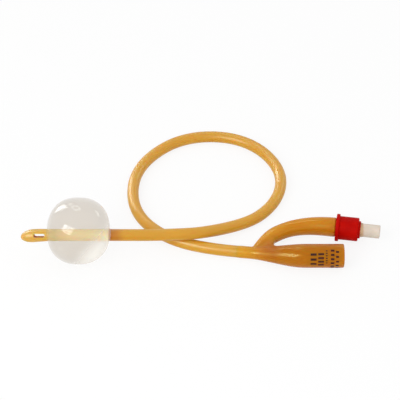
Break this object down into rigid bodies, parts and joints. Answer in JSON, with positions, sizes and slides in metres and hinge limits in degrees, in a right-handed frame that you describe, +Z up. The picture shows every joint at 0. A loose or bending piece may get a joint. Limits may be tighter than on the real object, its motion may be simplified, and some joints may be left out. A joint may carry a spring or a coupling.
{
  "type": "foley urinary catheter",
  "caption": "Two-way balloon catheter: looped flexible shaft with an eyed tip and inflated balloon, Y hub with drainage funnel and sprung inflation valve.",
  "frame": {"origin": "middle of the footprint of tip, balloon, hub and valve, on the table that the balloon, the shaft's loop and the hub rest on", "axes": "+X from the drainage tip to the drainage funnel's mouth, +Y to the side on which the shaft's loop and the inflation arm lie, +Z up"},
  "size_m": [0.182, 0.1095, 0.0336],
  "materials": {
    "amber_latex": "amber, slightly translucent, soft gloss",
    "clear_membrane": "clear, slightly milky, glossy",
    "red_plastic": "satin red",
    "white_plastic": "off-white, satin",
    "ivory_plastic": "ivory, satin",
    "seal_rubber": "matt black",
    "spring_steel": "bright wire"
  },
  "bodies": {
    "catheter": {"shaft": "amber_latex", "tip": "amber_latex", "balloon": "clear_membrane", "hub": "amber_latex", "valve_collar": "red_plastic", "valve_port": "white_plastic", "valve_tail": "white_plastic", "valve_spring": "spring_steel"},
    "plunger": {"valve_plunger": "ivory_plastic", "valve_seal": "seal_rubber"}
  },
  "joints": [
    {"name": "valve_slide", "type": "slide", "parent": "catheter", "child": "plunger", "axis": [-0.988, 0.1547, 0], "range_m": [0, 0.002], "stiffness_N_per_m": 800, "springref_m": -0.001, "deforming": ["valve_spring"]}
  ]
}
